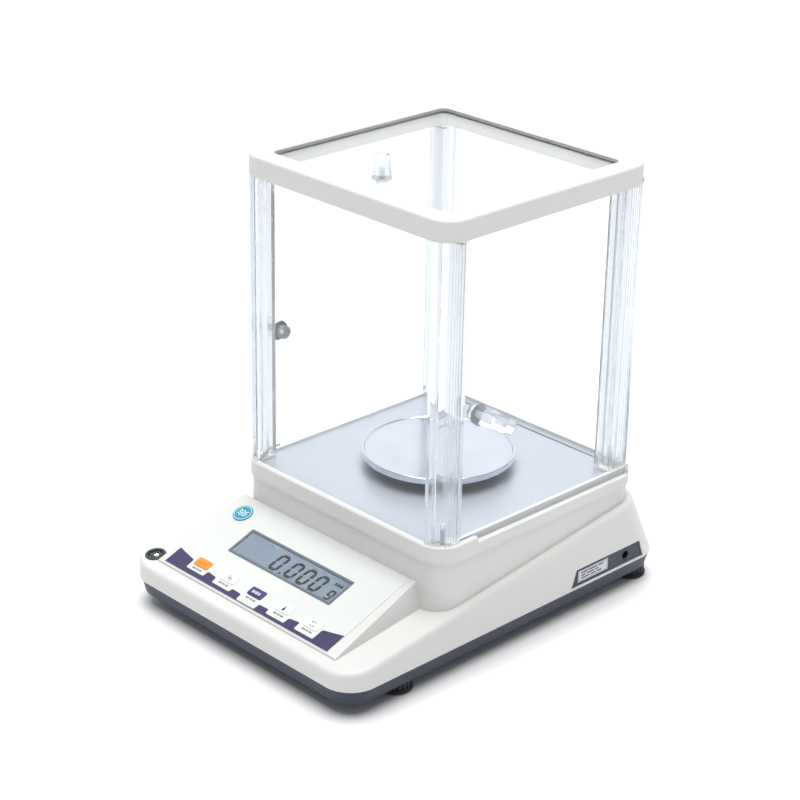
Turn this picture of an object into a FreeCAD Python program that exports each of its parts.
"""Laboratory balance with a glass draft shield, as a parametric FreeCAD document.

Frame: millimetres, +Z up, the front faces -Y. The origin lies on the table under the middle of the
object's box. The weighing pan stands on the X = 0 plane.
"""
import FreeCAD, Part
import math
import os
import re
import Sketcher
from FreeCAD import Vector

doc = FreeCAD.newDocument("laboratory_balance")
sheet = doc.addObject("Spreadsheet::Sheet", "Sizes")

# Every driving size: name, value, what it is. Lengths are millimetres and angles are degrees.
SIZES = [
    # Lower housing
    ("left_reach", 127, "housing side to the left of the pan axis"),
    ("right_reach", 108, "housing side to the right of the pan axis"),
    ("half_depth", 159, "half of the housing's depth along Y"),
    ("housing_corner", 22, "plan radius of the housing corners"),
    ("seam_level", 21.4, "seam of the upper housing and the bottom shell"),
    ("lip_top", 34.4, "top of the housing's front lip"),
    ("deck_slope", 7.5, "slope of the housing's top"),
    ("rear_lean", 26, "lean of the housing's rear face from the vertical"),
    ("deck_edge", 4, "radius round the housing's top edge"),
    ("wall", 2.5, "wall of the moulded shells"),
    ("snug", 0.2, "gap between pieces that are dropped into one another"),
    # Bottom shell and feet
    ("shell_level", 9.9, "underside of the bottom shell"),
    ("shell_inset", 1, "step from the housing in to the bottom shell at the seam"),
    ("shell_flare", 15, "lean of the bottom shell's side"),
    ("feet_span", 200, "distance between left and right feet"),
    ("feet_front", 100, "front feet, forward of the object's middle"),
    ("feet_rear", 142, "rear feet, behind the object's middle"),
    ("pad_radius", 12.3, "radius of a rubber foot pad"),
    ("pad_height", 3.5, "height of a rubber foot pad"),
    ("wheel_radius", 11.4, "radius of a foot's thumb wheel"),
    ("wheel_height", 5.6, "height of a foot's thumb wheel"),
    ("flute_radius", 1.1, "radius of a finger flute in the thumb wheel"),
    ("flutes", 20, "number of flutes round a thumb wheel"),
    ("stud_radius", 4, "radius of a foot's threaded stud"),
    ("stud_length", 14, "stud above the thumb wheel"),
    ("thread_gap", 0.06, "radial gap in the foot's thread"),
    ("foot_boss", 8, "outer radius of the boss for a foot"),
    ("boss_top", 27, "top of the foot bosses"),
    # Control wedge and what is on it
    ("wedge_left", 104.5, "left foot of the control wedge"),
    ("wedge_right", 83.3, "right foot of the control wedge"),
    ("wedge_front", 148.3, "front edge of the wedge, forward of the middle"),
    ("wedge_lip", 1.5, "height of the wedge's front edge above the deck"),
    ("wedge_slope", 20, "slope of the control panel"),
    ("wedge_draft", 12, "lean of the wedge's sides"),
    ("wedge_edge", 1, "radius along the wedge's upper edges"),
    ("film_left", 98.4, "left edge of the panel film"),
    ("film_right", 74, "right edge of the panel film"),
    ("film_start", 1.2, "front edge of the film, up the slope"),
    ("film_end", 80.5, "rear edge of the film, up the slope"),
    ("film_thick", 0.4, "thickness of the film"),
    ("film_corner", 2, "corner radius of the film"),
    ("window_left", 64.2, "left edge of the display window"),
    ("window_right", 42.7, "right edge of the display window"),
    ("window_start", 33.2, "front edge of the display window, up the slope"),
    ("window_end", 58.8, "rear edge of the display window, up the slope"),
    ("window_corner", 1.2, "corner radius of the display window"),
    ("key_wide", 14.5, "key, across"),
    ("key_long", 7.6, "key, up the slope"),
    ("key_corner", 1.6, "corner radius of a key"),
    ("key_rise", 0.9, "key top above the panel"),
    ("key_gap", 0.25, "gap round a key"),
    ("key_flange", 1, "flange that keeps a key in the panel"),
    ("key_pitch", 29, "distance between keys"),
    ("key_first", 69.4, "middle of the first key, left of the pan axis"),
    ("key_row", 14.4, "middle of the keys, up the slope"),
    ("key_travel", 0.4, "how far a key is pressed"),
    ("badge_radius", 7.7, "radius of the round badge"),
    ("badge_left", 83.7, "badge, left of the pan axis"),
    ("badge_row", 66.4, "badge, up the slope"),
    ("badge_thick", 0.8, "thickness of the badge"),
    ("board_depth", 9, "display board below the panel"),
    ("board_thick", 1.6, "thickness of a circuit board"),
    ("cell_thick", 2.8, "thickness of the liquid crystal cell"),
    # Bubble level
    ("level_left", 112.5, "bubble level, left of the pan axis"),
    ("level_front", 144, "bubble level, forward of the middle"),
    ("level_radius", 7.5, "outer radius of the bubble level"),
    ("level_bore", 5.6, "radius of the vial in the bubble level"),
    ("level_deep", 8, "depth of the bubble level's cup"),
    ("level_rim", 0.6, "rim of the level above the deck"),
    ("level_floor", 1.5, "floor of the level's cup, and its lens below the deck"),
    # Chamber base and floor plate
    ("base_half", 103.2, "half width of the chamber base"),
    ("base_front", 72.5, "front of the chamber base, forward of the middle"),
    ("base_rear", 132.1, "rear of the chamber base, behind the middle"),
    ("base_corner", 20, "plan radius of the base's corners"),
    ("base_step", 84.1, "level of the step between the two tiers"),
    ("base_top", 96.1, "top of the chamber base's rim"),
    ("tier_inset", 1.5, "lower tier inside the upper band"),
    ("base_wall", 3, "wall and deck of the chamber base"),
    ("plate_sunk", 1.9, "floor plate's top below the rim"),
    ("plate_thick", 1.2, "thickness of the floor plate"),
    ("plate_hole", 14, "radius of the hole in the floor plate"),
    ("track_deep", 6.5, "depth of a door track below the rim"),
    ("track_wall_drop", 4, "outer wall of the track below the rim"),
    # Draft shield
    ("glass", 3, "thickness of the glass"),
    ("glass_gap", 0.3, "gap beside glass in a groove"),
    ("door_plane", 96, "inner face of a side door"),
    ("door_knob_level", 185.6, "axis of the side door knobs"),
    ("door_knob_front", 36.5, "knobs of the doors, forward of the middle"),
    ("front_glass_plane", 67.3, "front face of the front glass, forward of the middle"),
    ("rear_glass_plane", 119, "front face of the rear glass, behind the middle"),
    ("post_wide", 14.5, "front post, across"),
    ("post_deep", 20, "post, front to back"),
    ("post_face", 71.2, "front face of the front posts, forward of the middle"),
    ("post_side", 100.5, "outer side of the front posts"),
    ("rear_post_front", 106, "front face of the rear posts, behind the middle"),
    ("rear_post_inner", 80, "inner side of the rear posts"),
    ("post_web", 2, "walls of a post's hollow section"),
    ("post_groove", 3, "depth of the groove for the glass in a post"),
    ("frame_half", 101.2, "half width of the top frame"),
    ("frame_front", 71.6, "front of the top frame, forward of the middle"),
    ("frame_rear", 127.1, "rear of the top frame, behind the middle"),
    ("frame_corner", 17, "plan radius of the top frame's corners"),
    ("frame_rim", 16, "width of the top frame's rim"),
    ("frame_under", 310.9, "underside of the top frame"),
    ("frame_tall", 14.4, "height of the top frame"),
    ("frame_groove", 4.5, "depth of the glass grooves under the top frame"),
    ("roof_glass_up", 11.9, "upper face of the top door above the frame's underside"),
    ("roof_track", 4, "depth of the top door's grooves in the rim"),
    ("top_knob_front", 32.5, "top door's knob, forward of the middle"),
    # Knobs
    ("knob_root", 7.6, "radius of a knob at the glass, across corners"),
    ("knob_tip", 6.4, "radius of a knob at its end, across corners"),
    ("knob_long", 29.5, "side knob, from the glass to its end"),
    ("top_knob_long", 16.6, "top knob, from the glass to its end"),
    ("knob_screw", 2, "radius of a knob screw"),
    ("knob_nut", 5, "radius of the nut inside the glass"),
    ("knob_nut_long", 4, "nut inside the glass"),
    ("knob_cap", 2, "height of the sloped cap of a knob"),
    ("knob_cap_lean", 30, "lean of the facets of a knob's cap"),
    # Pan and load cell
    ("pan_radius", 55, "radius of the weighing pan"),
    ("pan_middle", 28, "pan axis, behind the object's middle"),
    ("pan_top", 108, "top of the pan's rolled rim"),
    ("pan_rim", 4.6, "height of the pan's rim"),
    ("pan_sheet", 1, "sheet of the pan"),
    ("stem_radius", 5, "radius of the pan support's stem"),
    ("carrier_wide", 24, "load carrier, across"),
    ("carrier_deep", 12, "load carrier, front to back"),
    ("carrier_top", 88, "top of the load carrier"),
    ("carrier_foot", 30, "underside of the load carrier"),
    ("cell_play", 0.8, "free play between moving pieces of the load cell"),
    ("lever_arm", 12, "short arm of the transfer lever"),
    ("coil_radius", 9.6, "outer radius of the lever's coil"),
    ("coil_wall", 1.8, "wall of the coil"),
    ("coil_long", 14.4, "length of the coil"),
    # Connector panel
    ("panel_front", 57, "front end of the connector panel, behind the middle"),
    ("panel_rear", 136, "rear end of the connector panel, behind the middle"),
    ("panel_low", 23, "bottom of the connector panel"),
    ("panel_high", 37, "top of the connector panel"),
    ("panel_lean", 5, "run-in of the panel's ends over its height"),
    ("panel_sunk", 1, "panel face inside the housing's side"),
    ("jack_row", 116.5, "power jack, behind the middle"),
    ("jack_level", 29.8, "power jack's axis"),
    ("jack_nose", 4.2, "radius of the power jack's nose"),
    ("jack_bore", 3.1, "radius of the power jack's bore"),
    ("jack_pin", 1, "radius of the power jack's contact pin"),
    ("flange_thick", 2, "thickness of the connector panel's flange and its holders"),
    # Screws
    ("screw_radius", 1.5, "radius of the housing and post screws"),
    ("screw_head", 2.9, "head radius of the housing and post screws"),
    ("screw_gap", 0.1, "gap round a screw in its hole"),
]
NAMES = [name for name, _, _ in SIZES]


def fill_sheet():
    """Write the sizes, their names and their notes into the spreadsheet."""
    for row, (name, number, note) in enumerate(SIZES, start=1):
        sheet.set(f"A{row}", name)
        sheet.set(f"B{row}", str(number))
        sheet.set(f"C{row}", note)
        sheet.setAlias(f"B{row}", name)
    doc.recompute()


def full(text):
    """An expression with each size's name written as a reference to the sheet."""
    return re.sub(r"[a-z]\w*", lambda m: "Sizes." + m[0] if m[0] in NAMES else m[0], str(text))


def value(text):
    """The number that an expression of sizes gives now."""
    return float(sheet.evalExpression(str(text)))


def bind(target, **settings):
    """Bind properties to expressions: bind(box, Length="wall * 2")."""
    for prop, text in settings.items():
        target.setExpression(prop.replace("_", "."), full(text))


def place(target, x="0", y="0", z="0", tilt=None):
    """Bind a position and, where given, a turn about the X axis."""
    if tilt is not None:
        target.Placement = FreeCAD.Placement(Vector(), FreeCAD.Rotation(Vector(1, 0, 0), 1))
        target.setExpression("Placement.Rotation.Angle", full(tilt))
    target.setExpression("Placement.Base.x", full(x))
    target.setExpression("Placement.Base.y", full(y))
    target.setExpression("Placement.Base.z", full(z))


# Part workbench: solids and booleans

def solid(kind, name="piece"):
    return doc.addObject("Part::" + kind, name)


def box(x0, x1, y0, y1, z0, z1):
    """A box between two corners, each given as expressions."""
    made = solid("Box")
    bind(made, Length=f"({x1}) - ({x0})", Width=f"({y1}) - ({y0})", Height=f"({z1}) - ({z0})")
    place(made, x0, y0, z0)
    return made


AXES = {"z": Vector(0, 0, 1), "x": Vector(0, 1, 0), "y": Vector(-1, 0, 0)}


def rod(x, y, z, radius, length, along="z"):
    """A cylinder that starts at a point and runs along +X, +Y or +Z."""
    made = solid("Cylinder")
    if along != "z":
        made.Placement = FreeCAD.Placement(Vector(), FreeCAD.Rotation(AXES[along], 90))
    bind(made, Radius=radius, Height=length)
    place(made, x, y, z)
    return made


def fuse(*pieces):
    made = solid("MultiFuse")
    made.Shapes = list(pieces)
    return made


def cut(base, *tools):
    made = solid("Cut")
    made.Base = base
    made.Tool = tools[0] if len(tools) == 1 else fuse(*tools)
    return made


def common(first, second):
    made = solid("Common")
    made.Base = first
    made.Tool = second
    return made


def group(*pieces):
    """Separate solids kept in one node."""
    made = solid("Compound")
    made.Links = list(pieces)
    return made


# PartDesign workbench: sketched bodies

def new_body():
    body = doc.addObject("PartDesign::Body", "body")
    doc.recompute()
    return body


def sketch_on(body, role, shift="0"):
    """A sketch on one of the body's own origin planes, moved along the plane's normal."""
    sketch = body.newObject("Sketcher::SketchObject", "outline")
    plane = next(item for item in body.Origin.OriginFeatures if item.Role == role)
    sketch.AttachmentSupport = [(plane, "")]
    sketch.MapMode = "FlatFace"
    sketch.setExpression("AttachmentOffset.Base.z", full(shift))
    return sketch


def dimension(sketch, kind, geometry, corner, text):
    """Tie one point's distance from the sketch's origin to an expression."""
    number = value(text)
    if abs(number) < 1e-9:
        axis = -2 if kind == "DistanceX" else -1
        sketch.addConstraint(Sketcher.Constraint("PointOnObject", geometry, corner, axis))
        return
    index = sketch.addConstraint(Sketcher.Constraint(kind, -1, 1, geometry, corner, number))
    sketch.setExpression(f"Constraints[{index}]", full(text))


def polygon(sketch, points):
    """A closed outline of straight lines through points given as pairs of expressions."""
    spots = [Vector(value(x), value(y), 0) for x, y in points]
    first = sketch.GeometryCount
    count = len(spots)
    lines = [Part.LineSegment(spots[i], spots[(i + 1) % count]) for i in range(count)]
    sketch.addGeometry(lines, False)
    for i in range(count):
        sketch.addConstraint(Sketcher.Constraint("Coincident", first + i, 2, first + (i + 1) % count, 1))
    for i, (x, y) in enumerate(points):
        dimension(sketch, "DistanceX", first + i, 1, x)
        dimension(sketch, "DistanceY", first + i, 1, y)


def rectangle(sketch, x0, x1, y0, y1, radius):
    """A rectangle with rounded corners."""
    a, b, c, d, r = (value(text) for text in (x0, x1, y0, y1, radius))
    first = sketch.GeometryCount
    sides = [
        ((a + r, c), (b - r, c)),
        ((b, c + r), (b, d - r)),
        ((b - r, d), (a + r, d)),
        ((a, d - r), (a, c + r)),
    ]
    corners = [(b - r, c + r), (b - r, d - r), (a + r, d - r), (a + r, c + r)]
    for i in range(4):
        start, end = sides[i]
        sketch.addGeometry(Part.LineSegment(Vector(*start, 0), Vector(*end, 0)), False)
        turn = Part.Circle(Vector(*corners[i], 0), Vector(0, 0, 1), r)
        sketch.addGeometry(Part.ArcOfCircle(turn, math.radians(90 * i - 90), math.radians(90 * i)), False)
    for i in range(4):
        line, arc, after = first + 2 * i, first + 2 * i + 1, first + (2 * i + 2) % 8
        sketch.addConstraint(Sketcher.Constraint("Tangent", line, 2, arc, 1))
        sketch.addConstraint(Sketcher.Constraint("Tangent", arc, 2, after, 1))
        sketch.addConstraint(Sketcher.Constraint("Vertical" if i % 2 else "Horizontal", line))
        if i:
            sketch.addConstraint(Sketcher.Constraint("Equal", first + 1, arc))
    index = sketch.addConstraint(Sketcher.Constraint("Radius", first + 1, r))
    sketch.setExpression(f"Constraints[{index}]", full(radius))
    limits = [("DistanceY", y0), ("DistanceX", x1), ("DistanceY", y1), ("DistanceX", x0)]
    for i, (kind, text) in enumerate(limits):
        dimension(sketch, kind, first + 2 * i, 1, text)


def circle(sketch, x, y, radius):
    centre = Vector(value(x), value(y), 0)
    first = sketch.GeometryCount
    sketch.addGeometry(Part.Circle(centre, Vector(0, 0, 1), value(radius)), False)
    dimension(sketch, "DistanceX", first, 3, x)
    dimension(sketch, "DistanceY", first, 3, y)
    index = sketch.addConstraint(Sketcher.Constraint("Radius", first, value(radius)))
    sketch.setExpression(f"Constraints[{index}]", full(radius))


def pad(body, sketch, length, other=None, lean=None):
    """Extrude a sketch along its normal, and the other way too where asked."""
    made = body.newObject("PartDesign::Pad", "pad")
    made.Profile = sketch
    bind(made, Length=length)
    if other is not None:
        made.SideType = "Two sides"
        bind(made, Length2=other)
    if lean is not None:
        bind(made, TaperAngle=lean)
    return made


def pocket(body, sketch, depth, up=False):
    """Cut a sketch into the body, below the sketch or above it."""
    made = body.newObject("PartDesign::Pocket", "pocket")
    made.Profile = sketch
    made.Reversed = up
    bind(made, Length=depth)
    return made


def turned(body, sketch):
    """Turn a sketch about the body's own Z axis."""
    made = body.newObject("PartDesign::Revolution", "turn")
    made.Profile = sketch
    made.ReferenceAxis = (sketch, ["V_Axis"])
    made.Angle = 360
    return made


def fillet(body, feature, radius, test):
    doc.recompute()
    made = body.newObject("PartDesign::Fillet", "fillet")
    made.Base = (feature, [f"Edge{i + 1}" for i, edge in enumerate(feature.Shape.Edges) if test(edge)])
    bind(made, Radius=radius)
    return made


def block(x0, x1, y0, y1, z0, z1, radius):
    """An upright block with rounded corners."""
    body = new_body()
    sketch = sketch_on(body, "XY_Plane", z0)
    rectangle(sketch, x0, x1, y0, y1, radius)
    pad(body, sketch, f"({z1}) - ({z0})")
    return body


def spin(points, x="0", y="0", z="0"):
    """A turned piece: its half section, then where its axis stands."""
    body = new_body()
    sketch = sketch_on(body, "XZ_Plane")
    polygon(sketch, points)
    turned(body, sketch)
    place(body, x, y, z)
    return body


# Edge tests

def level_at(text):
    """A test for edges that lie flat at one level."""
    wanted = value(text)
    return lambda edge: abs(edge.BoundBox.ZMin - wanted) < 1e-3 and abs(edge.BoundBox.ZMax - wanted) < 1e-3


# Sloping surfaces: each is a level as an expression of a place along Y

def deck(y):
    """Level of the housing's top at y."""
    return f"(lip_top + (({y}) + half_depth) * tan(deck_slope * 1 deg))"


PANEL_ZERO = f"({deck('-wedge_front')} + wedge_lip)"


def panel(y):
    """Level of the control panel at y."""
    return f"({PANEL_ZERO} + (({y}) + wedge_front) * tan(wedge_slope * 1 deg))"


def on_deck(made, x, y):
    """Stand a piece made about its own Z axis on the sloping deck."""
    place(made, x, y, deck(y), "deck_slope")
    return made


def on_panel(made, x="0", up="0", out="0"):
    """Lay a piece on the control panel: its X runs across, its Y up the slope, its Z out of the panel."""
    turn = "(wedge_slope * 1 deg)"
    place(made, x, f"-wedge_front + ({up}) * cos{turn} - ({out}) * sin{turn}",
          f"{PANEL_ZERO} + ({up}) * sin{turn} + ({out}) * cos{turn}", "wedge_slope")
    return made


def below_deck():
    """Everything under the plane of the housing's top."""
    made = solid("Box")
    bind(made, Length="left_reach * 2 + right_reach", Width="half_depth * 3", Height="lip_top * 3")
    place(made, "-left_reach * 1.5", "-half_depth + lip_top * 3 * sin(deck_slope * 1 deg)",
          "lip_top - lip_top * 3 * cos(deck_slope * 1 deg)", "deck_slope")
    return made


# Housing

FLOOR = "(shell_level + wall)"
BASE_BACK = "(base_front - tier_inset)"
SCREW_SPOTS = [
    ("-left_reach + 12", "-feet_front + 32"),
    ("-left_reach + 12", "feet_rear - 70"),
    ("right_reach - 12", "-feet_front + 28"),
    ("right_reach - 12", "panel_front - 26"),
    ("-base_half / 2", "base_rear - 3"),
    ("base_half / 2", "base_rear - 3"),
]
FEET = {
    "front_left": ("(right_reach - left_reach) / 2 - feet_span / 2", "-feet_front"),
    "front_right": ("(right_reach - left_reach) / 2 + feet_span / 2", "-feet_front"),
    "rear_left": ("(right_reach - left_reach) / 2 - feet_span / 2", "feet_rear"),
    "rear_right": ("(right_reach - left_reach) / 2 + feet_span / 2", "feet_rear"),
}


def hull(inset, floor):
    """The housing's outer form, moved inwards by an inset and closed at a floor."""
    body = new_body()
    sketch = sketch_on(body, "YZ_Plane")
    front = f"(half_depth - {inset})"
    lip = f"(lip_top - {inset})"
    lean = "tan(rear_lean * 1 deg)"
    rise = "tan(deck_slope * 1 deg)"
    crest = f"(({front} - ({lip} - seam_level + {front} * {rise}) * {lean}) / (1 + {rise} * {lean}))"
    polygon(sketch, [
        (f"-{front}", floor),
        (f"{front} - (({floor}) - seam_level) * {lean}", floor),
        (crest, f"{lip} + ({crest} + {front}) * {rise}"),
        (f"-{front}", lip),
    ])
    form = pad(body, sketch, f"right_reach - {inset}", f"left_reach - {inset}")
    edge = lambda e: e.BoundBox.XLength < 1e-3 and e.BoundBox.ZLength > e.BoundBox.YLength
    return body, fillet(body, form, f"housing_corner - {inset}", edge)


def on_plane(part, level):
    """Whether the corners of an edge or a face lie on the surface whose level is an expression of y."""
    return all(abs(v.Z - value(level(repr(v.Y)))) < 1e-3 for v in part.Vertexes)


def side_opening(gap, x0, x1):
    """The connector panel's outline as a plate across the housing's right side."""
    body = new_body()
    sketch = sketch_on(body, "YZ_Plane", x0)
    polygon(sketch, [
        (f"panel_front + {gap}", f"panel_low + {gap}"),
        (f"panel_rear - {gap}", f"panel_low + {gap}"),
        (f"panel_rear - panel_lean - {gap}", f"panel_high - {gap}"),
        (f"panel_front + panel_lean + {gap}", f"panel_high - {gap}"),
    ])
    pad(body, sketch, f"({x1}) - ({x0})")
    return body


def upper_housing():
    body, corners = hull("0", "seam_level")
    fillet(body, corners, "deck_edge", lambda edge: on_plane(edge, deck))
    inside, _ = hull("wall", "seam_level - 1")
    shell = cut(body, inside)
    bosses = [rod(x, y, "seam_level", "screw_radius * 3", f"{deck(y)} - wall / 2 - seam_level")
              for x, y in SCREW_SPOTS]
    shell = fuse(shell, *bosses)
    holes = [rod(x, y, "seam_level", "screw_radius + screw_gap", "wall * 5") for x, y in SCREW_SPOTS]
    under_base = box("-base_half + base_wall * 4", "base_half - base_wall * 4",
                     f"-{BASE_BACK} + base_wall * 3", "base_rear - base_wall * 4",
                     "seam_level + wall * 3", "base_step")
    under_panel = box("-wedge_left + base_wall * 3", "wedge_right - base_wall * 4",
                      "-wedge_front + base_wall * 2.3", f"-{BASE_BACK} - base_wall",
                      "seam_level + wall * 3", "base_step")
    vial = at_level(spin([("0", "-level_deep * 2"), ("level_radius + snug", "-level_deep * 2"),
                          ("level_radius + snug", "level_deep"), ("0", "level_deep")]))
    side = side_opening("0", "right_reach - wall * 2", "right_reach + wall")
    return cut(shell, under_base, under_panel, vial, side, *holes)


def bottom_shell():
    body = new_body()
    spread = "(shell_inset + (seam_level - shell_level) * tan(shell_flare * 1 deg))"
    outline = sketch_on(body, "XY_Plane", "shell_level")
    rectangle(outline, f"-left_reach + {spread}", f"right_reach - {spread}", f"-half_depth + {spread}",
              f"half_depth - {spread}", f"housing_corner - {spread}")
    pad(body, outline, "seam_level - shell_level", lean="shell_flare")
    hollow = sketch_on(body, "XY_Plane", "seam_level")
    inset = f"({spread} + wall)"
    rectangle(hollow, f"-left_reach + {inset}", f"right_reach - {inset}", f"-half_depth + {inset}",
              f"half_depth - {inset}", f"housing_corner - {inset}")
    pocket(body, hollow, "seam_level - shell_level - wall")
    nuts = [rod(x, y, "shell_level", "foot_boss", "boss_top - shell_level") for x, y in FEET.values()]
    stands = [rod(x, y, "shell_level", "screw_head * 2", "seam_level - shell_level") for x, y in SCREW_SPOTS]
    tray = fuse(body, *nuts, *stands)
    threads = [rod(x, y, "shell_level - 1", "stud_radius + thread_gap", "boss_top - shell_level + 2")
               for x, y in FEET.values()]
    shanks = [rod(x, y, "shell_level - 1", "screw_radius + screw_gap", "seam_level - shell_level + 2")
              for x, y in SCREW_SPOTS]
    heads = [rod(x, y, "shell_level - 1", "screw_head + screw_gap", "wall + 1") for x, y in SCREW_SPOTS]
    return cut(tray, *threads, *shanks, *heads)


def screw(x, y, under_head, length):
    """A screw driven upwards, with its head below a face."""
    shank = rod(x, y, under_head, "screw_radius", length)
    head = rod(x, y, f"{under_head} - screw_radius", "screw_head", "screw_radius")
    return fuse(head, shank)


def housing_screws():
    reach = "seam_level - shell_level - wall + wall * 4"
    return group(*[screw(x, y, FLOOR, reach) for x, y in SCREW_SPOTS])


def foot_pad(x, y):
    return spin([("0", "0"), ("pad_radius - 1", "0"), ("pad_radius", "1"), ("pad_radius", "pad_height - 1"),
                 ("pad_radius - 1", "pad_height"), ("0", "pad_height")], x, y)


def foot_screw(x, y):
    """A fluted thumb wheel with a stud above it. The thread is left plain."""
    body = new_body()
    disc = sketch_on(body, "XY_Plane", "pad_height")
    circle(disc, "0", "0", "wheel_radius")
    pad(body, disc, "wheel_height")
    flute = sketch_on(body, "XY_Plane", "pad_height + wheel_height")
    circle(flute, "wheel_radius", "0", "flute_radius")
    groove = pocket(body, flute, "wheel_height")
    ring = body.newObject("PartDesign::PolarPattern", "flutes")
    ring.Originals = [groove]
    ring.Axis = (flute, ["N_Axis"])
    ring.Angle = 360
    bind(ring, Occurrences="flutes")
    body.Tip = ring
    stud = sketch_on(body, "XY_Plane", "pad_height + wheel_height")
    circle(stud, "0", "0", "stud_radius")
    pad(body, stud, "stud_length")
    place(body, x, y)
    return body


# Control wedge and what is on it

WINDOW = ("-window_left", "window_right", "window_start", "window_end")
KEYS = ["power_key", "unit_key", "menu_key", "print_key", "zero_key"]


def grown(sides, gap):
    """Four sides of a rectangle moved outwards by a gap."""
    x0, x1, y0, y1 = sides
    return (f"{x0} - ({gap})", f"{x1} + ({gap})", f"{y0} - ({gap})", f"{y1} + ({gap})")


def key_sides(number):
    """The outline of a key in the panel's own frame."""
    middle = f"(-key_first + key_pitch * {number})"
    return (f"{middle} - key_wide / 2", f"{middle} + key_wide / 2",
            "key_row - key_long / 2", "key_row + key_long / 2")


def key_holes(low, high):
    """Room for the keys in a piece of the control panel."""
    outlines = [grown(key_sides(number), "key_gap") for number in range(len(KEYS))]
    return [block(*outline, low, high, "key_corner + key_gap") for outline in outlines]


def control_wedge():
    body = new_body()
    sketch = sketch_on(body, "YZ_Plane")
    polygon(sketch, [("-wedge_front", deck("-wedge_front")), (f"-{BASE_BACK}", deck(f"-{BASE_BACK}")),
                     (f"-{BASE_BACK}", panel(f"-{BASE_BACK}")), ("-wedge_front", PANEL_ZERO)])
    form = pad(body, sketch, "wedge_right", "wedge_left")
    doc.recompute()
    lean = body.newObject("PartDesign::Draft", "lean")
    faces = list(enumerate(form.Shape.Faces, start=1))
    lean.Base = (form, [f"Face{i}" for i, face in faces if face.BoundBox.XLength < 1e-3])
    floor = next(i for i, face in faces if on_plane(face, deck))
    lean.NeutralPlane = (form, [f"Face{floor}"])
    lean.Reversed = True
    lean.Angle = value("wedge_draft")
    doc.recompute()
    # The first recompute of a draft places its neutral plane, and the second one leans the sides.
    bind(lean, Angle="wedge_draft")
    upper = lambda edge: on_plane(edge, panel) and edge.BoundBox.YLength > value("half_depth") / 4
    fillet(body, lean, "wedge_edge", upper)
    hollow = new_body()
    inner = sketch_on(hollow, "YZ_Plane")
    under = lambda y: f"{panel(y)} - wall / cos(wedge_slope * 1 deg)"
    front = "(-wedge_front + wall)"
    back = f"(-{BASE_BACK} - wall)"
    polygon(inner, [(front, "lip_top - wall * 2"), (back, "lip_top - wall * 2"), (back, under(back)),
                    (front, under(front))])
    pad(hollow, inner, "wedge_right - wall * 3", "wedge_left - wall * 3")
    window = block(*grown(WINDOW, "-film_corner"), "-wall * 2", "wall", "window_corner")
    tools = [on_panel(piece) for piece in [window] + key_holes("-wall * 2", "wall")]
    return cut(body, hollow, *tools)


def panel_film():
    film = block("-film_left", "film_right", "film_start", "film_end", "0", "film_thick", "film_corner")
    window = block(*grown(WINDOW, "snug / 2"), "-wall", "wall", "window_corner")
    return on_panel(cut(film, window, *key_holes("-wall", "wall")))


def panel_key(number):
    """A key cap with a plunger below and a flange that stays under the panel."""
    sides = key_sides(number)
    stem = block(*sides, "-board_depth + board_thick + key_travel * 2 + wall / 2", "key_rise", "key_corner")
    flange = block(*grown(sides, "key_flange"), "-wall - key_travel - key_flange", "-wall - key_travel / 4",
                   "key_corner")
    return on_panel(fuse(stem, flange))


def key_mat():
    """The rubber mat under the keys, on the display board."""
    return on_panel(block("-key_first - key_wide", "-key_first + key_pitch * 4 + key_wide",
                          "key_row - key_long", "key_row + key_long", "-board_depth",
                          "-board_depth + board_thick + wall / 2", "key_corner"))


def lcd_window():
    return on_panel(block(*WINDOW, "0", "film_thick", "window_corner"))


def lcd_cell():
    sides = grown(WINDOW, "-film_corner - snug")
    return on_panel(block(*sides, "-snug - cell_thick", "-snug", "window_corner / 2"))


def lcd_backlight():
    sides = grown(WINDOW, "-film_corner - snug")
    return on_panel(block(*sides, "-board_depth", "-snug - cell_thick", "window_corner / 2"))


def display_board():
    return on_panel(block("-key_first - key_wide * 1.2", "window_right + key_wide * 1.4",
                          "key_row - key_long * 1.1", "window_end + key_long",
                          "-board_depth - board_thick", "-board_depth", "film_corner"))


def badge_disc():
    """The round badge, stuck on the film."""
    disc = rod("0", "0", "0", "badge_radius", "badge_thick")
    return on_panel(disc, "-badge_left", "badge_row", "film_thick")


# Bubble level: each piece turned about the vial's axis, which stands square to the deck

LEVEL_INSIDE = "-level_deep + level_floor"


def at_level(made):
    """Stand a piece at the bubble level's place on the deck."""
    return on_deck(made, "-level_left", "-level_front")


def level_cup():
    return at_level(spin([("0", "-level_deep"), ("level_radius", "-level_deep"),
                          ("level_radius", "level_rim"), ("level_bore", "level_rim"),
                          ("level_bore", LEVEL_INSIDE), ("0", LEVEL_INSIDE)]))


def level_fluid():
    return at_level(spin([("0", LEVEL_INSIDE), ("level_bore", LEVEL_INSIDE), ("level_bore", "-level_floor"),
                          ("0", "-level_floor")]))


def level_lens():
    return at_level(spin([("0", "-level_floor"), ("level_bore", "-level_floor"), ("level_bore", "0"),
                          ("level_bore - level_floor", "level_rim"), ("0", "level_rim")]))


# Chamber base and floor plate

DECK_UNDER = "(base_top - track_deep - wall)"
PLATE_UNDER = "(base_top - plate_sunk - plate_thick)"
PLATE_RIM = "(base_half - door_plane + glass_gap + wall)"
POSTS = {
    "front_left_post": ("-1", "front"),
    "front_right_post": ("1", "front"),
    "rear_left_post": ("-1", "rear"),
    "rear_right_post": ("1", "rear"),
}
# The sides of a right-hand post: inner, outer, front, rear
POST_SIDES = {
    "front": ("(post_side - post_wide)", "post_side", "(-post_face)", "(-post_face + post_deep)"),
    "rear": ("rear_post_inner", "(rear_post_inner + post_wide)",
             "rear_post_front", "(rear_post_front + post_deep)"),
}


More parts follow.
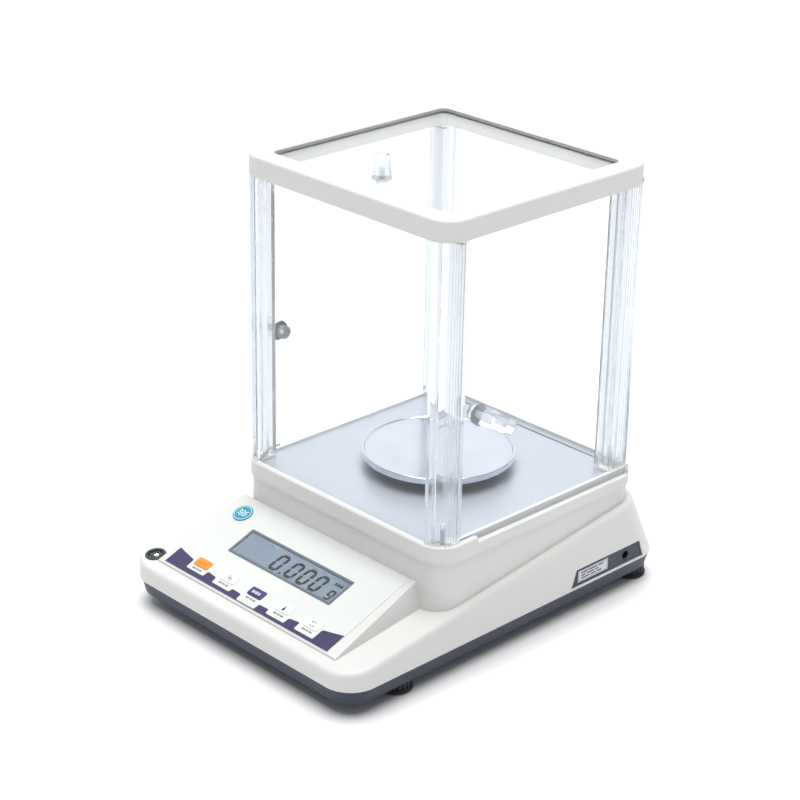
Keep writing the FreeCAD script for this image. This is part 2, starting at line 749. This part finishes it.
def across(side, x0, x1):
    """Two places along X, mirrored to the left where side is -1, in rising order."""
    return (x0, x1) if side == "1" else (f"-({x1})", f"-({x0})")


def post_middle(side, row):
    x0, x1, y0, y1 = POST_SIDES[row]
    return f"{side} * ({x0} + {x1}) / 2", f"({y0} + {y1}) / 2"


def plate_form(low, high, gap):
    """The floor plate's outline, which steps round the posts."""
    inset = "(base_wall + tier_inset)"
    form = block(f"-base_half + {PLATE_RIM} - {gap}", f"base_half - {PLATE_RIM} + {gap}",
                 f"-base_front + {inset} - {gap}", f"base_rear - {inset} + {gap}", low, high, "wall")
    notches = []
    for side, row in POSTS.values():
        x0, x1, y0, y1 = POST_SIDES[row]
        left, right = across(side, f"{x0} - snug + {gap}", f"{x1} + base_wall * 3")
        front, rear = (f"{y0} - base_wall * 3", f"{y1} + snug - {gap}") if row == "front" else (
            f"{y0} - snug + {gap}", f"{y1} + base_wall * 4")
        notches.append(box(left, right, front, rear, f"{low} - 1", f"{high} + 1"))
    return cut(form, *notches)


FIXED_GLASS = {
    "front_glass": ("-front_glass_plane", "(post_side - post_wide + post_groove)"),
    "rear_glass": ("rear_glass_plane", "(rear_post_inner + post_groove)"),
}


def glass_grooves(low, high):
    """Room for the front and the rear glass in a piece above or below them."""
    return [box(f"-{half} - snug", f"{half} + snug", f"{plane} - glass_gap", f"{plane} + glass + glass_gap",
                low, high) for plane, half in FIXED_GLASS.values()]


def chamber_base():
    lower = block("-base_half + tier_inset", "base_half - tier_inset", f"-{BASE_BACK}",
                  "base_rear - tier_inset", "seam_level", "base_step", "base_corner - tier_inset")
    upper = block("-base_half", "base_half", "-base_front", "base_rear",
                  "base_step", "base_top", "base_corner")
    fillet(upper, upper.Tip, "tier_inset", level_at("base_top"))
    inset = "(tier_inset + base_wall)"
    hollow = block(f"-base_half + {inset}", f"base_half - {inset}", f"-base_front + {inset}",
                   f"base_rear - {inset}", "seam_level - 1", DECK_UNDER, f"base_corner - {inset}")
    recess = plate_form(PLATE_UNDER, "base_top + 1", "snug")
    stem = rod("0", "pan_middle", f"{DECK_UNDER} - 1", "plate_hole + wall", "track_deep + wall + 2")
    tools = [hollow, recess, stem, below_deck()]
    for side in ("-1", "1"):
        inner, outer = across(side, "door_plane - glass_gap", "door_plane + glass + glass_gap")
        tools.append(box(inner, outer, "-post_face + post_deep + snug", "base_rear + 1",
                         "base_top - track_deep", "base_top + 1"))
        inner, outer = across(side, "door_plane + glass", "base_half + 1")
        tools.append(box(inner, outer, "-door_knob_front", "rear_post_front + post_deep - base_wall * 2",
                         "base_top - track_wall_drop", "base_top + 1"))
    for side, row in POSTS.values():
        x, y = post_middle(side, row)
        tools.append(rod(x, y, f"{DECK_UNDER} - 1", "screw_radius + screw_gap", "track_deep + wall + 2"))
        tools.append(rod(x, y, f"{DECK_UNDER} - screw_head", "screw_head + screw_gap", "screw_head"))
    tools += glass_grooves("base_top - plate_sunk", "base_top + 1")
    return cut(fuse(lower, upper), *tools)


def floor_plate():
    hole = rod("0", "pan_middle", f"{PLATE_UNDER} - 1", "plate_hole", "plate_thick + 2")
    return cut(plate_form(PLATE_UNDER, "base_top - plate_sunk", "0"), hole)


# Draft shield

FRAME_TOP = "(frame_under + frame_tall)"
ROOF = "(frame_under + roof_glass_up)"


def post(side, row):
    """A clear post: a channel that takes the glass, a hollow cell and a spigot for the top frame."""
    x0, x1, y0, y1 = POST_SIDES[row]
    left, right = across(side, x0, x1)
    section = box(left, right, y0, y1, "base_top", "frame_under")
    inset = "(frame_half - post_side)"
    corner = block(f"-frame_half + {inset}", f"frame_half - {inset}", f"-frame_front + {inset} / 2",
                   f"frame_rear - {inset}", "base_top", "frame_under", f"frame_corner - {inset}")
    x, y = post_middle(side, row)
    spigot = rod(x, y, "frame_under - wall", "post_groove", "wall + frame_groove - snug")
    plane = "-front_glass_plane" if row == "front" else "rear_glass_plane"
    left, right = across(side, f"{x0} - 1", f"{x0} + post_groove + snug")
    channel = box(left, right, f"{plane} - glass_gap", f"{plane} + glass + glass_gap",
                  "base_top - 1", "frame_under + 1")
    rear_cell = (f"{y} + post_groove + post_web / 2", f"{y1} - post_web")
    front_cell = (f"{y0} + post_web", f"{y} - post_groove - post_web / 2")
    cell_y = rear_cell if row == "front" else front_cell
    left, right = across(side, f"{x0} + post_web", f"{x1} - post_web")
    cell = box(left, right, *cell_y, "base_top - 1", "frame_under - wall")
    thread = rod(x, y, "base_top - 1", "screw_radius + screw_gap", "wall * 6 + 1")
    return cut(fuse(common(section, corner), spigot), channel, cell, thread)


def post_screws():
    reach = "track_deep + wall + wall * 4"
    spots = [post_middle(side, row) for side, row in POSTS.values()]
    return group(*[screw(x, y, DECK_UNDER, reach) for x, y in spots])


def top_frame():
    ring = block("-frame_half", "frame_half", "-frame_front", "frame_rear",
                 "frame_under", FRAME_TOP, "frame_corner")
    fillet(ring, ring.Tip, "tier_inset", level_at(FRAME_TOP))
    opening = block("-frame_half + frame_rim", "frame_half - frame_rim", "-frame_front + frame_rim",
                    "frame_rear - frame_rim", "frame_under - 1", f"{FRAME_TOP} + 1", "wall * 2")
    reach = "(frame_half - frame_rim + roof_track)"
    roof = box(f"-{reach}", reach, "-frame_front + frame_rim - roof_track", "frame_rear + 1",
               f"{ROOF} - glass - glass_gap", f"{ROOF} + glass_gap")
    tools = [opening, roof]
    for side in ("-1", "1"):
        inner, outer = across(side, "door_plane - glass_gap", "door_plane + glass + glass_gap")
        tools.append(box(inner, outer, "-post_face + post_deep + snug", "frame_rear + 1", "frame_under - 1",
                         "frame_under + frame_groove"))
    for side, row in POSTS.values():
        x, y = post_middle(side, row)
        tools.append(rod(x, y, "frame_under - 1", "post_groove + snug", "frame_groove + 1"))
    tools += glass_grooves("frame_under - 1", "frame_under + frame_groove")
    return cut(ring, *tools)


def fixed_glass(plane, half):
    return box(f"-{half}", half, plane, f"{plane} + glass", "base_top - plate_sunk",
               "frame_under + frame_groove - snug")


DOOR_FRONT = "(-post_face + post_deep + snug * 2)"
DOOR_REAR = "(rear_post_front + post_deep - glass * 2)"


def side_door(side):
    inner, outer = across(side, "door_plane", "door_plane + glass")
    pane = box(inner, outer, DOOR_FRONT, DOOR_REAR,
               "base_top - track_deep + snug", "frame_under + frame_groove - snug")
    start = across(side, "door_plane - 1", "door_plane + glass + 1")[0]
    hole = rod(start, "-door_knob_front", "door_knob_level", "knob_screw + screw_gap", "glass + 2", "x")
    return cut(pane, hole)


def top_door():
    reach = "(frame_half - frame_rim + roof_track - glass_gap)"
    pane = box(f"-{reach}", reach, "-frame_front + frame_rim - roof_track + glass_gap", "frame_rear - wall",
               f"{ROOF} - glass", ROOF)
    hole = rod("0", "-top_knob_front", f"{ROOF} - glass - 1", "knob_screw + screw_gap", "glass + 2")
    return cut(pane, hole)


def knob_form(length):
    """A faceted clear knob about its own Z axis, which narrows to a sloped cap."""
    body = new_body()
    first = sketch_on(body, "XY_Plane")
    octagon(first, "knob_root")
    last = sketch_on(body, "XY_Plane", f"{length} - knob_cap")
    octagon(last, "knob_tip")
    loft = body.newObject("PartDesign::AdditiveLoft", "facets")
    loft.Profile = first
    loft.Sections = [last]
    loft.Ruled = True
    cap = sketch_on(body, "XY_Plane", f"{length} - knob_cap")
    octagon(cap, "knob_tip")
    pad(body, cap, "knob_cap", lean="-knob_cap_lean")
    bore = sketch_on(body, "XY_Plane")
    circle(bore, "0", "0", "knob_screw + screw_gap")
    pocket(body, bore, f"{length} / 2", up=True)
    return body


def octagon(sketch, radius):
    turns = [f"({22.5 + 45 * i} * 1 deg)" for i in range(8)]
    polygon(sketch, [(f"{radius} * cos{turn}", f"{radius} * sin{turn}") for turn in turns])


def toward(body, side):
    """Turn a piece from its own Z axis to the left or the right side of the balance."""
    body.Placement = FreeCAD.Placement(Vector(), FreeCAD.Rotation(Vector(0, 1, 0), 90 * int(side)))


def side_knob(side):
    body = knob_form("knob_long")
    toward(body, side)
    place(body, f"{side} * (door_plane + glass)", "-door_knob_front", "door_knob_level")
    return body


def knob_screw_form(length):
    """The nut inside the glass and the threaded pin that holds the knob."""
    nut = rod("0", "0", "-glass - knob_nut_long", "knob_nut", "knob_nut_long")
    pin = rod("0", "0", "-glass - knob_nut_long / 2", "knob_screw",
              f"glass + knob_nut_long / 2 + {length} / 2 - 1")
    return fuse(nut, pin)


def side_knob_screw(side):
    made = knob_screw_form("knob_long")
    toward(made, side)
    place(made, f"{side} * (door_plane + glass)", "-door_knob_front", "door_knob_level")
    return made


def top_knob():
    body = knob_form("top_knob_long")
    place(body, "0", "-top_knob_front", ROOF)
    return body


def top_knob_screw():
    made = knob_screw_form("top_knob_long")
    place(made, "0", "-top_knob_front", ROOF)
    return made


# Pan and load cell

def weighing_pan():
    """A dished sheet with a rim rolled down round it."""
    low = "pan_top - pan_rim"
    face = "pan_top - pan_sheet"
    under = f"{face} - pan_sheet"
    return spin([("0", under), ("pan_radius - pan_sheet", under), ("pan_radius - pan_sheet", low),
                 ("pan_radius", low), ("pan_radius", face), ("pan_radius - pan_sheet", "pan_top"),
                 ("pan_radius - pan_sheet * 2", "pan_top"), ("pan_radius - pan_sheet * 3", face),
                 ("0", face)], "0", "pan_middle")


PAN_SEAT = "(pan_top - pan_sheet * 2)"


def pan_support():
    """The spider that carries the pan: a disc on a stem with a socket for the load carrier's pin."""
    disc = "(pan_radius - pan_sheet * 4)"
    under = f"{PAN_SEAT} - pan_sheet * 2"
    spider = spin([("0", under), (disc, under), (disc, PAN_SEAT), ("0", PAN_SEAT)], "0", "pan_middle")
    stem = rod("0", "pan_middle", "carrier_top", "stem_radius * 1.6", f"{PAN_SEAT} - pan_sheet - carrier_top")
    socket = rod("0", "pan_middle", "carrier_top - 1", "stem_radius / 2 + snug / 2", "stem_radius * 2 + 1")
    return cut(fuse(spider, stem), socket)


def load_carrier():
    """The upright that the guides hold, with a pin for the pan support and a hook for the lever."""
    middle = "carrier_deep / 2"
    bar = box("-carrier_wide / 2", "carrier_wide / 2", f"pan_middle - {middle}", f"pan_middle + {middle}",
              "carrier_foot", "carrier_top")
    pin = rod("0", "pan_middle", "carrier_top - 1", "stem_radius / 2", "stem_radius * 2 - 1")
    slot = box("-lever_arm / 2 - cell_play", "lever_arm / 2 + cell_play", "pan_middle - carrier_deep",
               "pan_middle + carrier_deep", LEVER_LOW + " - cell_play * 2", LEVER_HIGH + " + cell_play * 2")
    return cut(fuse(bar, pin), slot)


LEVER_LOW = "(carrier_foot + carrier_deep * 1.5)"
LEVER_HIGH = "(carrier_foot + carrier_deep * 2)"
COLUMN_FRONT = "(pan_middle + carrier_deep / 2 + lever_arm)"
COLUMN_REAR = "(pan_middle + carrier_deep / 2 + lever_arm * 4)"
COIL_MIDDLE = f"({COLUMN_REAR} + lever_arm * 1.3)"


def cell_base():
    """The cast block: a foot plate, two cheeks that carry the guides and a seat for the magnet."""
    low, high = f"{FLOOR} + wall * 2", "carrier_top - carrier_deep"
    foot = box("-carrier_wide * 1.5", "carrier_wide * 1.5", "pan_middle - carrier_deep * 2", COLUMN_REAR,
               FLOOR, f"{FLOOR} + wall * 3")
    cheeks = []
    for side in ("-1", "1"):
        x0, x1 = across(side, "carrier_wide / 2 + lever_arm / 3", "carrier_wide / 2 + lever_arm")
        cheeks.append(box(x0, x1, COLUMN_FRONT, COLUMN_REAR, low, high))
    bridge = box("-carrier_wide / 2 - lever_arm", "carrier_wide / 2 + lever_arm",
                 f"{COLUMN_REAR} - lever_arm", COLUMN_REAR, low, high)
    window = box("-lever_arm", "lever_arm", f"{COLUMN_REAR} - lever_arm - 1", f"{COLUMN_REAR} + 1",
                 LEVER_LOW + " - lever_arm", LEVER_HIGH + " + lever_arm")
    axle = rod("-carrier_wide * 2", f"{COLUMN_FRONT} + lever_arm / 2", f"({LEVER_LOW} + {LEVER_HIGH}) / 2",
               "screw_radius + screw_gap / 2", "carrier_wide * 4", "x")
    return cut(fuse(foot, *cheeks, bridge), window, axle)


def guide(level):
    """A flat spring guide fixed to the front of the cheeks, which ends at the load carrier."""
    half = "(carrier_wide / 2 + lever_arm)"
    return box(f"-{half}", half, "pan_middle + carrier_deep / 2 + cell_play", COLUMN_FRONT,
               level, f"{level} + pan_sheet")


def transfer_lever():
    """The lever on its cross axle: its short arm lies in the load carrier, its long arm holds the coil."""
    arm = box("-lever_arm / 2", "lever_arm / 2", "pan_middle - carrier_deep / 4", COIL_MIDDLE,
              LEVER_LOW, LEVER_HIGH)
    axle = rod("-carrier_wide / 2 - lever_arm + snug", f"{COLUMN_FRONT} + lever_arm / 2",
               f"({LEVER_LOW} + {LEVER_HIGH}) / 2", "screw_radius",
               "carrier_wide + lever_arm * 2 - snug * 2", "x")
    return fuse(arm, axle)


def lever_coil():
    """The coil under the lever: a cup that hangs in the magnet's ring gap."""
    low = f"{LEVER_LOW} - coil_long"
    tube = rod("0", COIL_MIDDLE, low, "coil_radius", "coil_long")
    bore = rod("0", COIL_MIDDLE, f"{low} - 1", "coil_radius - coil_wall", "coil_long - 1")
    return cut(tube, bore)


def magnet_pot():
    """A steel pot with a core, and a ring gap between them that the coil hangs in."""
    top = f"({LEVER_LOW} - cell_play * 3)"
    pot = rod("0", COIL_MIDDLE, FLOOR, "coil_radius * 1.5", f"{top} - {FLOOR}")
    depth = "(coil_long + cell_play * 1.5)"
    gap = rod("0", COIL_MIDDLE, f"{top} - {depth}", "coil_radius + cell_play", f"{depth} + 1")
    core = rod("0", COIL_MIDDLE, f"{top} - {depth} - 1", "coil_radius - coil_wall - cell_play", depth)
    return fuse(cut(pot, gap), core)


def main_board():
    """The main circuit board on the left of the load cell."""
    return box("-left_reach + wall * 8", "-carrier_wide * 2", "-half_depth / 4", "half_depth / 3",
               f"{FLOOR} + wall * 3", f"{FLOOR} + wall * 3 + board_thick")


# Connector side

def connector_panel():
    inside = "right_reach - wall - flange_thick"
    face = side_opening("snug", inside, "right_reach - panel_sunk")
    flange = side_opening("0", inside, "right_reach - wall")
    nose = rod("right_reach - wall * 3", "jack_row", "jack_level", "jack_nose + screw_gap", "wall * 4", "x")
    return cut(fuse(face, flange), nose)


def type_label():
    return box("right_reach - panel_sunk", "right_reach - panel_sunk + snug",
               "panel_front + panel_lean * 1.6", "panel_front + panel_lean * 8",
               "panel_low + wall", "panel_high - wall")


def dc_jack():
    """The power jack: a moulded body, a round nose through the panel and a contact pin."""
    half = "(jack_nose + 1)"
    back = box("right_reach - wall * 6", "right_reach - wall - flange_thick",
               f"jack_row - {half}", f"jack_row + {half}", f"jack_level - {half}", f"jack_level + {half}")
    nose = rod("right_reach - wall * 3", "jack_row", "jack_level", "jack_nose", "wall * 3 - panel_sunk", "x")
    bore = rod("right_reach - wall * 5", "jack_row", "jack_level", "jack_bore", "wall * 6", "x")
    pin = rod("right_reach - wall * 5 - 1", "jack_row", "jack_level", "jack_pin", "wall * 3", "x")
    return fuse(cut(fuse(back, nose), bore), pin)


def parts():
    """Every sub-part by the name of its file."""
    made = {
        "upper_housing": upper_housing(),
        "bottom_shell": bottom_shell(),
        "housing_screws": housing_screws(),
        "control_wedge": control_wedge(),
        "panel_film": panel_film(),
        "key_mat": key_mat(),
        "lcd_window": lcd_window(),
        "lcd_cell": lcd_cell(),
        "lcd_backlight": lcd_backlight(),
        "display_board": display_board(),
        "badge_disc": badge_disc(),
        "level_cup": level_cup(),
        "level_fluid": level_fluid(),
        "level_lens": level_lens(),
        "chamber_base": chamber_base(),
        "floor_plate": floor_plate(),
        "post_screws": post_screws(),
        "top_frame": top_frame(),
        "left_door": side_door("-1"),
        "right_door": side_door("1"),
        "top_door": top_door(),
        "left_knob": side_knob("-1"),
        "right_knob": side_knob("1"),
        "top_knob": top_knob(),
        "left_knob_screw": side_knob_screw("-1"),
        "right_knob_screw": side_knob_screw("1"),
        "top_knob_screw": top_knob_screw(),
        "weighing_pan": weighing_pan(),
        "pan_support": pan_support(),
        "load_carrier": load_carrier(),
        "upper_guide": guide("(carrier_top - carrier_deep - wall * 2)"),
        "lower_guide": guide("(carrier_foot + wall)"),
        "transfer_lever": transfer_lever(),
        "lever_coil": lever_coil(),
        "magnet_pot": magnet_pot(),
        "cell_base": cell_base(),
        "main_board": main_board(),
        "connector_panel": connector_panel(),
        "type_label": type_label(),
        "dc_jack": dc_jack(),
    }
    for name, (plane, half) in FIXED_GLASS.items():
        made[name] = fixed_glass(plane, half)
    for number, name in enumerate(KEYS):
        made[name] = panel_key(number)
    for name, (side, row) in POSTS.items():
        made[name] = post(side, row)
    for name, (x, y) in FEET.items():
        made[f"{name}_foot_pad"] = foot_pad(x, y)
        made[f"{name}_foot_screw"] = foot_screw(x, y)
    return made


def write(made):
    """Check every object and every sub-part's shape, then write one STEP file for each sub-part."""
    doc.recompute()
    failed = [item.Name for item in doc.Objects if {"Invalid", "Error"} & set(item.State)]
    failed += [name for name, item in made.items() if item.Shape.isNull() or not item.Shape.isValid()]
    if failed:
        raise RuntimeError("failed: " + ", ".join(failed))
    os.makedirs("parts", exist_ok=True)
    for name, item in made.items():
        item.Label = name
        item.Shape.exportStep(f"parts/{name}.step")


fill_sheet()
write(parts())
